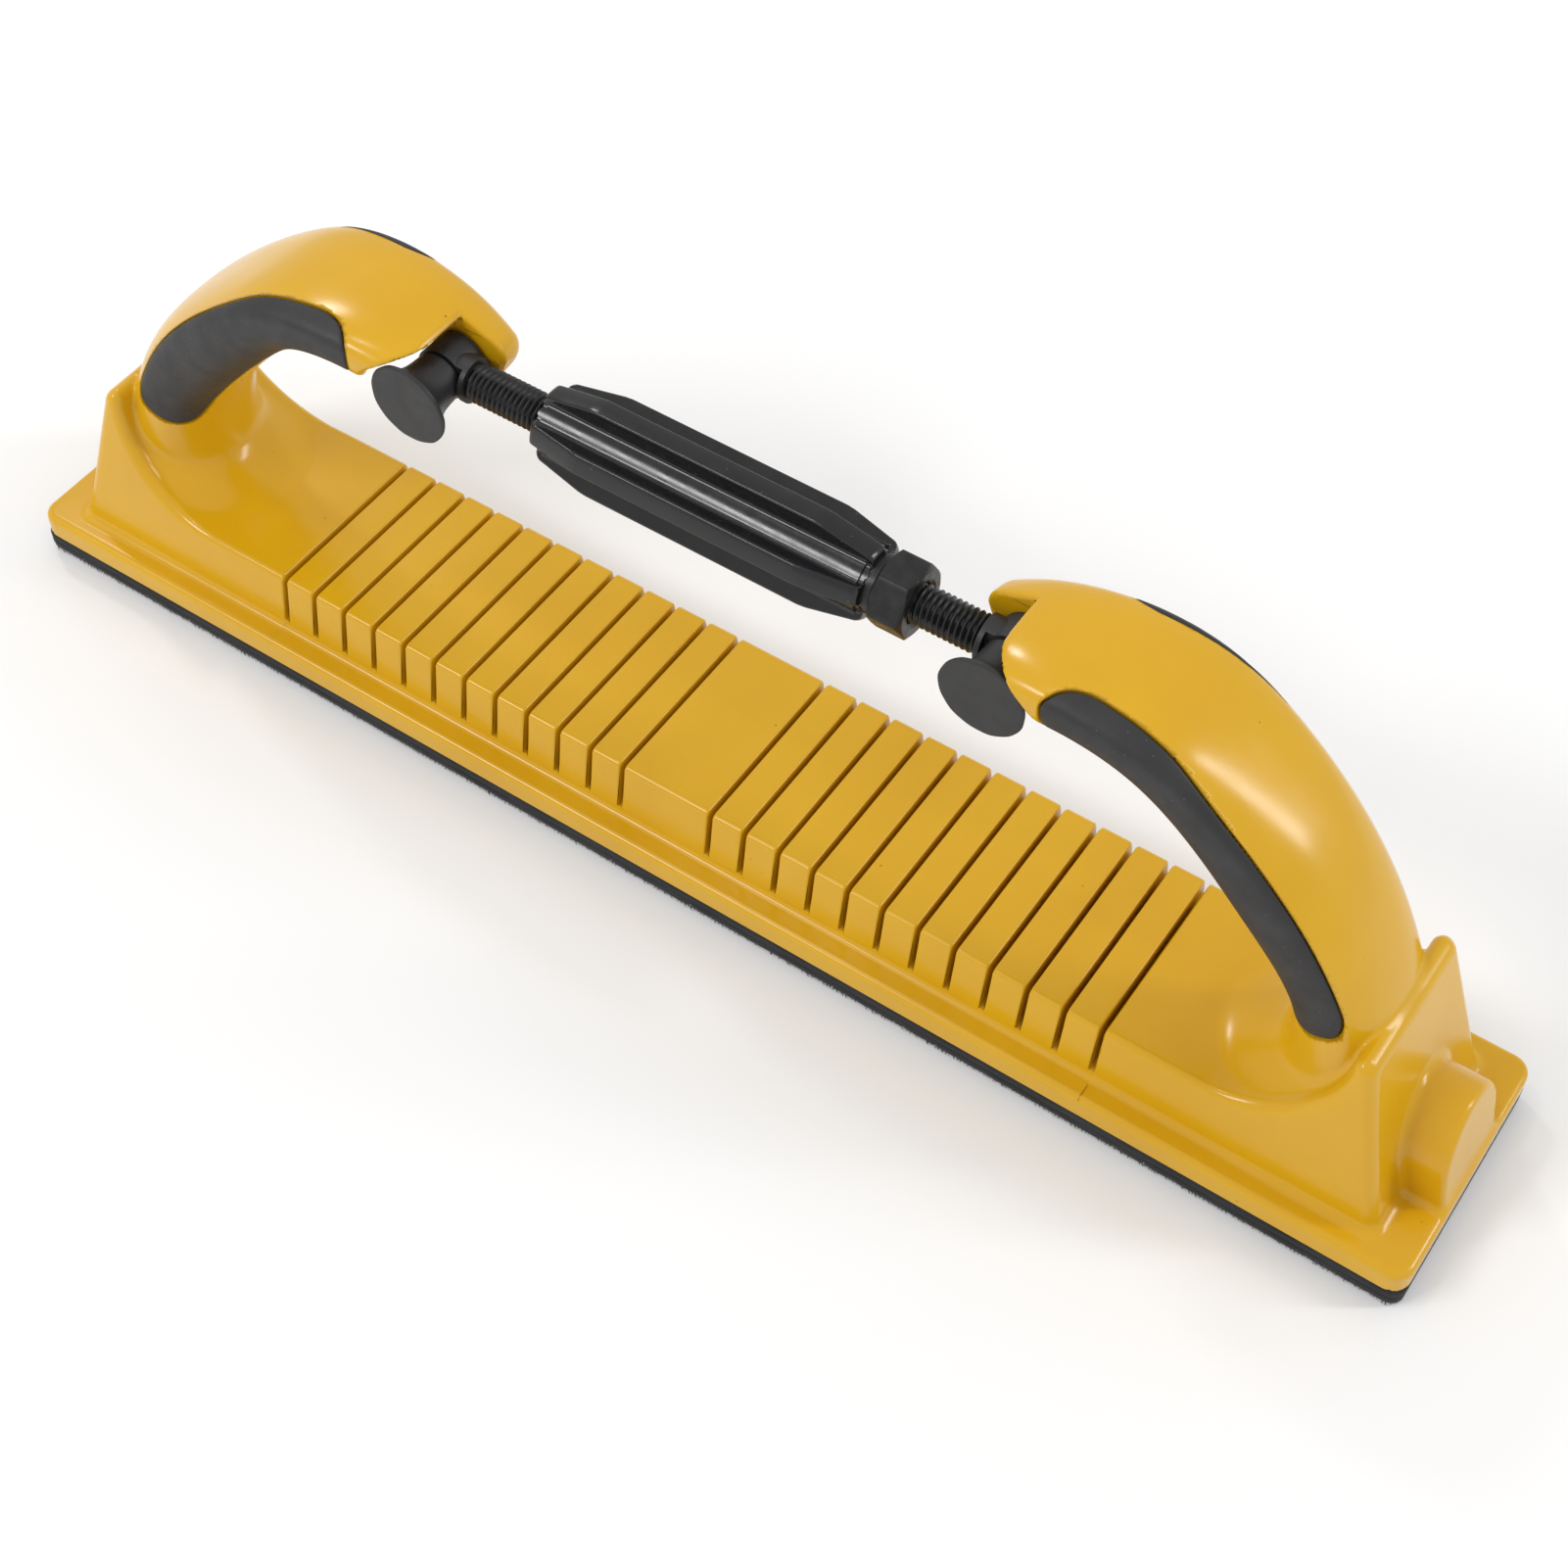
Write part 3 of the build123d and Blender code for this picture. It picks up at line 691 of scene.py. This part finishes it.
def end_mesh(boss):
    """Points, faces, loop normals of the yellow end piece, and its two rubber inlays."""
    def field(p):
        return end_field(p, boss)

    cell = 0.85
    low, high = (FLEX_END - 1.3 * cell, -36.4, 5.4), (211.2, 36.4, 128.0)
    points, quads = surface_nets(field, (65.0, *low[1:]), high, cell)
    points = settle(field, points, cell, 4)
    seam = (points[:, 0] < FLEX_END + 0.5 * cell) & (points[:, 2] < SLOT_FLOOR + 0.3)
    seam &= np.abs(end_field(points + (1.0, 0, 0), boss)) < 0.5 * cell
    points[seam, 0] = FLEX_END
    points[seam] = settle(lambda p: end_field(p + (1.0, 0, 0), boss), points[seam], 0.5, 3)
    points[seam, 0] = FLEX_END
    points = relax(points, quads, field, seam)
    inlays, floors, wall_faces = [], [], []
    for side in (-1, 1):
        outline = inlay_line(side)
        points, chosen, *_ = split_at(points, quads, outline, side, 0.0)
        skin_faces = quads[chosen]
        edges = rim_edges(quads, chosen)
        # the rubber's face starts from the same quads, inside the recess
        rubber_points, inner, *beside = split_at(points, quads, outline, side, RUBBER_LEVEL)
        inlays.append(inlay_mesh(rubber_points, quads[inner], rim_edges(quads, inner), *beside, outline))
        used = np.unique(skin_faces)
        copies = {int(v): len(points) + n for n, v in enumerate(used)}
        sunk = points[used] - INLAY_DEPTH * skin_normals(points[used])
        points = np.concatenate([points, sunk])
        floors.append(np.vectorize(copies.get)(skin_faces))
        wall_faces += [(b, a, copies[a], copies[b]) for a, b in edges]
        quads = quads[~chosen]
    faces = [tuple(q) for q in quads] + [tuple(q) for f in floors for q in f] + wall_faces
    kept = np.unique(np.array(faces))
    rename = -np.ones(len(points), int)
    rename[kept] = np.arange(len(kept))
    array = rename[np.array(faces)]
    points = points[kept]
    normals = gradient(field, points)
    at_seam = (np.abs(points[:, 0] - FLEX_END) < 1e-3) & (points[:, 2] < SLOT_FLOOR + 0.3)
    normals[at_seam] = gradient(field, points[at_seam] + (1.0, 0, 0))
    normals /= np.maximum(np.linalg.norm(normals, axis=1, keepdims=True), 1e-6)
    loops = normals[array]
    tail = len(quads)
    p = points[array[tail:]]
    flat = np.cross(p[:, 2] - p[:, 0], p[:, 3] - p[:, 1])
    flat /= np.maximum(np.linalg.norm(flat, axis=1, keepdims=True), 1e-9)
    loops[tail:] = flat[:, None, :]
    return points, array, loops.reshape(-1, 3), inlays


def inlay_mesh(points, quads, edges, rim, near, slide, outline):
    """A rubber inlay: its face just proud of the arm, rounded edges, and a flat back."""
    used = np.unique(quads)
    top = {int(v): n for n, v in enumerate(used)}
    skin = skin_normals(points[used])
    out = [points[used] + INLAY_PROUD * skin]
    faces = [tuple(top[int(v)] for v in q) for q in quads]
    back_start = len(used)
    back_points = points[used] - (INLAY_DEPTH - INLAY_BACK_GAP) * skin
    rim_ids = [int(v) for v in used if rim[v]]
    picked = np.array(rim_ids)
    order = {v: n for n, v in enumerate(rim_ids)}
    levels = ((0.85, 0.06), (0.62, -0.1), (INLAY_GAP + 0.06, -0.35), (INLAY_GAP, -0.62),
              (INLAY_GAP, INLAY_BACK_GAP - INLAY_DEPTH))
    rows = []
    for level, height in levels:
        where = at_level(near[picked], slide[picked], outline, level)
        rows.append(where + height * skin_normals(where))
    back_points[[top[v] for v in rim_ids]] = rows[-1]
    out.append(back_points)
    faces += [tuple(back_start + top[int(v)] for v in q)[::-1] for q in quads]
    base = 2 * len(used)
    starts = []
    for row in rows[:-1]:
        starts.append(base)
        out.append(row)
        base += len(row)

    def ring(level, v):
        if level == 0:
            return top[v]
        if level == len(rows):
            return back_start + top[v]
        return starts[level - 1] + order[v]

    for a, b in edges:
        for level in range(len(rows)):
            faces.append((ring(level, b), ring(level, a), ring(level + 1, a), ring(level + 1, b)))
    return np.concatenate(out), faces


for place, mirrored in (("right", False), ("left", True)):
    *body_shape, body_normals, inlay_pair = end_mesh(not mirrored)
    make(f"end_body_{place}", *body_shape, YELLOW, f"end_{place}",
         replaces=(f"base_end_{place}", f"handle_{place}"), slot="yellow_plastic", mirror=mirrored,
         normals=body_normals)
    for which, (inlay_points, inlay_faces) in zip(("near", "far"), inlay_pair):
        make(f"inlay_{which}_{place}", inlay_points, inlay_faces, RUBBER, f"end_{place}",
             replaces=(f"grip_{which}_{place}",), slot="grip_rubber", mirror=mirrored, sharp=60,
             weighted=False)


# ---------------------------------------------------------------- centre block and flex lengths

def arc(centre_y, centre_z, radius, start, stop, count):
    """Points along an arc between two angles in degrees."""
    return [(centre_y + radius * cos(radians(a)), centre_z + radius * sin(radians(a)))
            for a in np.linspace(start, stop, count)]


def base_ring(x, top, edge, inset=0.0):
    """Section of the base across the board, its top and flanks drawn in by inset."""
    def flank(z):
        return PLINTH_HALF + DRAFT * (PLINTH_TOP - z)

    half = [(0, FLANGE_Z), (12, FLANGE_Z), (24, FLANGE_Z), (HALF_WIDTH - 0.4, FLANGE_Z),
            (HALF_WIDTH, FLANGE_Z + 0.4)]
    half += arc(HALF_WIDTH - FLANGE_EDGE, FLANGE_TOP - FLANGE_EDGE, FLANGE_EDGE, 0, 90, 7)
    fillet_z = FLANGE_TOP + ROOT_FILLET
    half += arc(flank(fillet_z) + ROOT_FILLET, fillet_z, ROOT_FILLET, 270, 184, 7)
    shoulder = top - inset - edge
    for share in (0.02, 0.35, 0.7):
        z = fillet_z + 0.08 + (shoulder - fillet_z - 0.08) * share
        half.append((flank(z) - inset * min(1.0, max(0.0, (z - SLOT_FLOOR) / 0.8)), z))
    half += arc(flank(shoulder) - edge - inset, shoulder, edge, 0, 90, 7)
    half += [(14, top - inset), (0, top - inset)]
    ring = half + [(-y, z) for y, z in half[-2:0:-1]]
    return [(x, y, z) for y, z in ring]


def rib_rings(start, end):
    """Rings along one rib, its lips rounded at both slots."""
    edge, lip = 1.5, 0.5
    rings = [base_ring(start + d, PLINTH_TOP, edge, i) for d, i in ((0, lip), (0.15, 0.22), (lip, 0.0))]
    steps = max(2, int(round((end - start - 2 * lip) / 2.5)))
    for k in range(1, steps):
        rings.append(base_ring(start + lip + (end - start - 2 * lip) * k / steps, PLINTH_TOP, edge))
    rings += [base_ring(end - d, PLINTH_TOP, edge, i) for d, i in ((lip, 0.0), (0.15, 0.22), (0, lip))]
    return rings


def slot_rings(start, end):
    """Rings across one slot's floor, a little lower between its edges."""
    floor = SLOT_FLOOR + 0.35
    return [base_ring(start, floor, 0.12), base_ring(start + 0.3, SLOT_FLOOR + 0.2, 0.12),
            base_ring(end - 0.3, SLOT_FLOOR + 0.2, 0.12), base_ring(end, floor, 0.12)]


flex_rings = []
for slot_number in range(SLOTS):
    slot_start = CENTRE_END + slot_number * SLOT_PITCH
    flex_rings += slot_rings(slot_start, slot_start + SLOT_WIDTH)
    if slot_number < SLOTS - 1:
        flex_rings += rib_rings(slot_start + SLOT_WIDTH, slot_start + SLOT_PITCH)
flex_points, flex_faces = sweep(flex_rings)

make("centre_block", *sweep(rib_rings(-CENTRE_END, CENTRE_END)), YELLOW, "centre",
     replaces=("base_centre_block",), slot="yellow_plastic")
for place, mirrored in (("right", False), ("left", True)):
    make(f"flex_body_{place}", flex_points, flex_faces, YELLOW, blend=f"end_{place}",
         replaces=(f"flex_ribs_{place}",), slot="yellow_plastic", mirror=mirrored)


# ---------------------------------------------------------------- foam pad and hook face

def plan_half(x, corner):
    """Half width of the board at a station, with the end's round corner."""
    over = x - (HALF_LENGTH - corner)
    if over <= 0:
        return HALF_WIDTH
    return HALF_WIDTH - corner + sqrt(max(corner ** 2 - over ** 2, 0))


def pad_stations(start, end, at_end):
    """Stations along a length of the pad, closer round the board's corner."""
    if not at_end:
        return np.linspace(start, end, max(2, int((end - start) / 2.4)))
    turn = np.sin(np.linspace(0, pi / 2, 8))
    straight = np.linspace(start, end - PAD_CORNER, 34)
    return np.concatenate([straight, end - PAD_CORNER + PAD_CORNER * turn[1:]])


def pad_ring(x, section):
    """Ring across the pad: section gives inset from the side and height, from below upwards."""
    half = plan_half(x, PAD_CORNER)
    wave = 0.10 * sin(0.55 * x) * sin(0.21 * x + 1.3) + 0.05 * sin(1.7 * x)
    side = [(half - inset - (wave if inset > 0 else 0) * 0.5, z) for inset, z in section]
    low, high = section[0][1], section[-1][1]
    ring = [(0.0, low), (half * 0.5, low)] + side + [(half * 0.5, high), (0.0, high)]
    ring += [(-y, z) for y, z in ring[-2:0:-1]]
    return [(x, y, z) for y, z in ring]


foam_section = ((0.7, 2.0), (0.35, 2.12), (0.12, 2.5), (0.1, 3.3), (0.28, 3.75), (0.3, 3.95),
                (0.12, 4.3), (0.1, 5.6), (0.22, 6.0), (0.62, 6.28), (0.9, 6.5))
hook_section = ((0.9, 0.8), (0.5, 0.9), (0.35, 1.3), (0.45, 1.75), (0.75, 2.0))
lengths = {
    "centre": (-CENTRE_END, CENTRE_END, False),
    "flex": (CENTRE_END, FLEX_END, False),
    "end": (FLEX_END, HALF_LENGTH - 0.05, True),
}


TUFT_CORNERS = ((-1, -0.6), (1, -0.6), (1, 0.6), (-1, 0.6))


def tuft(x, y, way, height, lean, reach, thick):
    """A short tapered, curling hook strip that hangs from the hook face towards z 0."""
    rings = []
    side = np.array((-way[1], way[0]))
    for share in (0.0, 0.35, 0.7, 1.0):
        size = thick * (1 - 0.6 * share)
        out = np.array(way) * reach * sin(share * pi * 0.55) + side * lean * share
        centre = np.array((x, y)) + out
        z = 1.25 - height * share + 0.12 * share * share
        ring = [centre + size * (a * side + b * np.array(way)) for a, b in TUFT_CORNERS]
        rings.append([(cx, cy, z) for cx, cy in ring])
    return sweep(rings)


def random_tuft(x, y, way):
    """A tuft with its height, lean and reach drawn in that order."""
    return tuft(x, y, way, rng.uniform(0.75, 1.2), rng.uniform(-0.6, 0.6), rng.uniform(-0.1, 0.32), 0.16)


def hook_tufts(start, end, at_end):
    """Tufts along both long sides, and round the board's end."""
    parts = []
    for sign in (-1, 1):
        x = start + 0.3
        while x < end - 0.3:
            half = plan_half(x, PAD_CORNER)
            for row in (0.45, 1.5):
                spot = min(x + rng.uniform(-0.2, 0.2), end - 0.8)
                parts.append(random_tuft(spot, sign * (half - row - rng.uniform(0, 0.25)), (0, sign)))
            x += rng.uniform(0.75, 1.25)
    if at_end:
        y = -HALF_WIDTH + PAD_CORNER
        while y < HALF_WIDTH - PAD_CORNER:
            for row in (0.5, 1.5):
                parts.append(random_tuft(HALF_LENGTH - row - rng.uniform(0, 0.25), y, (1, 0)))
            y += rng.uniform(0.75, 1.25)
    return parts


for part, (start, end, at_end) in lengths.items():
    stations = pad_stations(start, end, at_end)
    foam_shape = sweep([pad_ring(x, foam_section) for x in stations])
    hook_plate = sweep([pad_ring(x, hook_section) for x in stations])
    for place, mirrored in (("right", False), ("left", True)):
        if part == "centre" and mirrored:
            continue
        suffix = "centre" if part == "centre" else f"{part}_{place}"
        where = {"body": "centre"} if part == "centre" else {"body": f"end_{place}"}
        if part == "flex":
            where = {"blend": f"end_{place}"}
        pad = make(f"foam_{suffix}", *foam_shape, FOAM, replaces=(f"foam_pad_{suffix}",), slot="pad_foam",
                   mirror=mirrored, weighted=False, sharp=50, **where)
        hook_shape = join(hook_plate, *hook_tufts(start, end, at_end))
        make(f"hooks_{suffix}", *hook_shape, HOOKS, replaces=(f"hook_face_{suffix}",), slot="hook_fabric",
             mirror=mirrored, weighted=False, sharp=50, **where)


# ---------------------------------------------------------------- tie rod

def round_rod(x, outline):
    """Ring round the rod's axis; outline gives (radius, angle) pairs."""
    return [(x, r * sin(a), ROD_Z + r * cos(a)) for r, a in outline]


def fin_outline(radius, core, half=2.6, corner=0.55, root=1.3):
    """Section of the five-finned grip as (radius, angle) pairs; the fins stand on the core."""
    shoulder = sqrt(radius ** 2 - (half - corner) ** 2) - corner
    foot = sqrt((core + root) ** 2 - (half + root) ** 2)
    foot = min(foot, shoulder - 0.4)
    side = [(half + root * (1 - sin(a)), foot - root * cos(a)) for a in np.linspace(0.35, pi / 2, 5)]
    side += [(half, foot + (shoulder - foot) * s) for s in (0.06, 0.5, 0.97)]
    side += [(half - corner * (1 - cos(a)), shoulder + corner * sin(a)) for a in np.linspace(0, 1.35, 5)]
    side += [(u, sqrt(radius ** 2 - u ** 2)) for u in (half * 0.66, half * 0.33, 0.0)]
    section = [(-u, v) for u, v in side] + side[-2::-1]
    valley = np.arctan2(*side[0])
    floor = np.linspace(valley, tau / FINS - valley, 8)[1:-1]
    outline = []
    for turn in (tau * k / FINS for k in range(FINS)):
        outline += [(np.hypot(u, v), turn + np.arctan2(u, v)) for u, v in section]
        outline += [(core, turn + angle) for angle in floor]
    return outline


def fin_radius(x):
    """Radius of the fins at a station: full in the middle, falling towards both rounded ends."""
    inward = min(x - GRIP_START, GRIP_END - x)
    full = FIN_START + (FIN_RADIUS - FIN_START) * min(1.0, inward / FIN_TAPER)
    knee = 0.12 * max(0.0, 1 - abs(inward - FIN_TAPER) / 1.5) ** 2
    round_end = 1.6
    dip = round_end - sqrt(max(round_end ** 2 - max(round_end - inward, 0) ** 2, 0))
    return full - knee - dip


def turnbuckle_body():
    """The finned grip: closely spaced stations round both ends and both knees, few between."""
    ends = np.array((0, 0.08, 0.25, 0.5, 0.8, 1.2, 1.6, 1.7, 2.6, 5, 8, 11,
                     13.2, 14.0, 14.4, 14.7, 15.0, 15.4, 16.2))
    middle = np.linspace(GRIP_START + 20, GRIP_END - 20, 10)
    stations = np.concatenate([GRIP_START + ends, middle, (GRIP_END - ends)[::-1]])
    rings = []
    for x in stations:
        at_end = min(x - GRIP_START, GRIP_END - x) < 1.65
        rings.append(round_rod(x, fin_outline(fin_radius(x), CORE_RADIUS - 0.5 * at_end)))
    turns = [np.arctan2(y, z - ROD_Z) for _, y, z in rings[0]]
    rings += [round_rod(x, [(CORE_BORE, a) for a in turns]) for x in (GRIP_END, GRIP_START)]
    return sweep(rings, wrap=True)


make("turnbuckle_body", *turnbuckle_body(), GLOSS_BLACK, "turnbuckle", replaces=("turnbuckle_grip",),
     slot="black_gloss_plastic", sharp=32)


def threaded(start, end, hand):
    """A threaded rod as a helical relief round the rod's axis."""
    around = 40
    rings = []
    for x in np.arange(start, end + 0.01, 0.25):
        outline = []
        for k in range(around):
            phase = (x / THREAD_PITCH + hand * k / around) % 1
            ridge = min(1.0, max(0.0, 1.25 - 2.6 * abs(phase - 0.5)))
            fade = smooth_step(np.array(min(x - start, end - x)), 0.0, 1.5)
            outline.append((ROD_RADIUS - THREAD_DEPTH * (1 - ridge) - 0.4 * (1 - fade), tau * k / around))
        rings.append(round_rod(x, outline))
    return sweep(rings)


for place, thread in (("right", (20.0, NECK_X - 0.02, 1)), ("left", (-NECK_X + 0.02, -24.0, -1))):
    make(f"thread_{place}", *threaded(*thread), BLACK_STEEL, f"rod_{place}",
         replaces=(f"threaded_rod_{place}",), slot="blackened_steel", sharp=70, weighted=False)


def hexagon(radius_flat, angle, corner):
    """Radius of a hexagon at an angle, its corners across the board and a little blunt."""
    plain = radius_flat / max(cos(angle - radians(60 * k)) for k in range(6))
    blunt = (radius_flat / cos(radians(30)) - corner) / cos((angle + radians(30)) % radians(60))
    return min(plain, blunt)


def lock_nut():
    """Hexagon nut with chamfered corners and a countersunk bore."""
    around = 96
    rings = []
    depths = (0, 0.1, 0.25, 0.45, 0.7, 0.95, 1.2, 1.6)
    stations = [NUT_START + d for d in depths] + [NUT_START + NUT_LENGTH - d for d in depths[::-1]]
    for x in stations:
        inward = min(x - NUT_START, NUT_START + NUT_LENGTH - x)
        outline = []
        for k in range(around):
            angle = tau * k / around
            outline.append((min(hexagon(NUT_FLATS / 2, angle, 0.2), 8.05 + inward * 1.75), angle))
        rings.append(round_rod(x, outline))
    nut_end = NUT_START + NUT_LENGTH
    for x, r in ((nut_end, 6.1), (nut_end - 0.7, 5.1), (NUT_START + 0.7, 5.1), (NUT_START, 6.1)):
        rings.append(round_rod(x, [(r, tau * k / around) for k in range(around)]))
    return sweep(rings, wrap=True)


make("nut_body", *lock_nut(), BLACK_STEEL, "lock_nut", replaces=("lock_nut",), slot="blackened_steel",
     sharp=24)


def pull_pin():
    """Disc head with a thin uneven rim, a trumpet behind it, the stem and the pin."""
    profile = [(-15.86, 0.05), (-15.88, 4.0), (-15.93, 7.5), (-15.98, 10.0), (-15.9, 10.6),
               (-15.7, 10.88), (-15.35, 10.95), (-15.0, 10.85), (-14.75, 10.55), (-14.3, 9.9),
               (-13.6, 9.1), (-12.6, 8.3), (-11.2, 7.5), (-9.4, 6.95), (-7.0, 6.65), (-4.8, 6.5),
               (-3.6, 6.5), (-3.15, 6.25), (-3.1, 5.6), (-3.1, 4.0), (0, 4.0), (6, 4.0), (12.0, 4.0),
               (12.7, 3.5), (13.0, 2.8), (13.0, 0.05)]
    around = 72
    rings = []
    for y, r in profile:
        ring = []
        for k in range(around):
            a = tau * k / around
            flash = 0.05 * sin(3 * a + 1) + 0.05 * sin(7 * a) + 0.04 * sin(13 * a + 2)
            edge = r + (flash - 0.05 if 9.5 < r else 0)
            ring.append((PIN_X + edge * sin(a), y, ROD_Z + edge * cos(a)))
        rings.append(ring)
    return sweep(rings)


for place, mirrored in (("right", False), ("left", True)):
    make(f"pin_body_{place}", *pull_pin(), MATTE_BLACK, f"pull_pin_{place}", replaces=(f"pull_pin_{place}",),
         slot="black_matte_plastic", mirror=mirrored, sharp=40)

# The CAD nodes that no piece stands for keep their shape and get a finish
finishes = {"threaded_insert": BLACK_STEEL, "eye": MATTE_BLACK, "handle_screws": SCREW_STEEL}
for node_name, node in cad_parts.items():
    for start, finish in finishes.items():
        if node_name.startswith(start):
            node.data.materials.clear()
            node.data.materials.append(finish)


# ---------------------------------------------------------------- studio

def studio_floor():
    """A plain pale floor just below the part."""
    material, tree, shader, where = new_material("floor_white", (0.93, 0.93, 0.93), 0.9)
    shade = spread(tree, noise(tree, where, 3, 2), 0.3, 0.7, 0.0, 1.0)
    tone = mix(tree, shade, (0.925, 0.925, 0.925), (0.935, 0.935, 0.935))
    tree.links.new(tone, shader.inputs["Base Color"])
    shader.inputs["Specular IOR Level"].default_value = 0.0
    mesh = bpy.data.meshes.new("floor")
    reach = 9.0
    mesh.from_pydata([(-reach, -reach, 0), (reach, -reach, 0), (reach, reach, 0), (-reach, reach, 0)], [],
                     [(0, 1, 2, 3)])
    mesh.materials.append(material)
    floor = bpy.data.objects.new("floor", mesh)
    floor.location.z = -0.0002
    bpy.context.scene.collection.objects.link(floor)


def soft_light(name, direction, distance, width, height, power):
    """A rectangular softbox that faces the board from a direction."""
    light = bpy.data.lights.new(name, "AREA")
    light.shape = "RECTANGLE"
    light.size, light.size_y = width, height
    light.energy = power
    lamp = bpy.data.objects.new(name, light)
    way = Vector(direction).normalized()
    lamp.location = way * distance + Vector((0, 0, 0.06))
    lamp.rotation_euler = way.to_track_quat("Z", "Y").to_euler()
    bpy.context.scene.collection.objects.link(lamp)


studio_floor()
soft_light("softbox_left", (-0.61, 0.29, 0.74), 1.7, 0.13, 0.16, 2.4)
soft_light("strip_right", (0.72, 0.43, 0.54), 1.7, 0.17, 0.95, 6)
soft_light("glow_top", (-0.30, -0.20, 0.93), 1.8, 0.10, 0.14, 1.2)
soft_light("front_fill", (-0.41, -0.58, 0.66), 1.9, 0.75, 0.28, 10)

world = bpy.data.worlds.new("studio")
bpy.context.scene.world = world
world.use_nodes = True
world.node_tree.nodes["Background"].inputs["Color"].default_value = (1, 1, 1, 1)
world.node_tree.nodes["Background"].inputs["Strength"].default_value = 0.74
bpy.context.scene.view_settings.view_transform = "Standard"

camera_data = bpy.data.cameras.new("camera")
camera_data.lens = 58.385
camera_data.sensor_width = 36.0
camera_data.clip_end = 50
camera = bpy.data.objects.new("camera", camera_data)
right = Vector((0.82688, 0.56235, 0.00430))
down = Vector((0.44743, -0.65323, -0.61081))
ahead = Vector((-0.34068, 0.50700, -0.79176))
axes = Matrix((right, -down, -ahead)).transposed().to_4x4()
camera.matrix_world = Matrix.Translation((0.23832, -0.32786, 0.53076)) @ axes
bpy.context.scene.collection.objects.link(camera)
bpy.context.scene.camera = camera
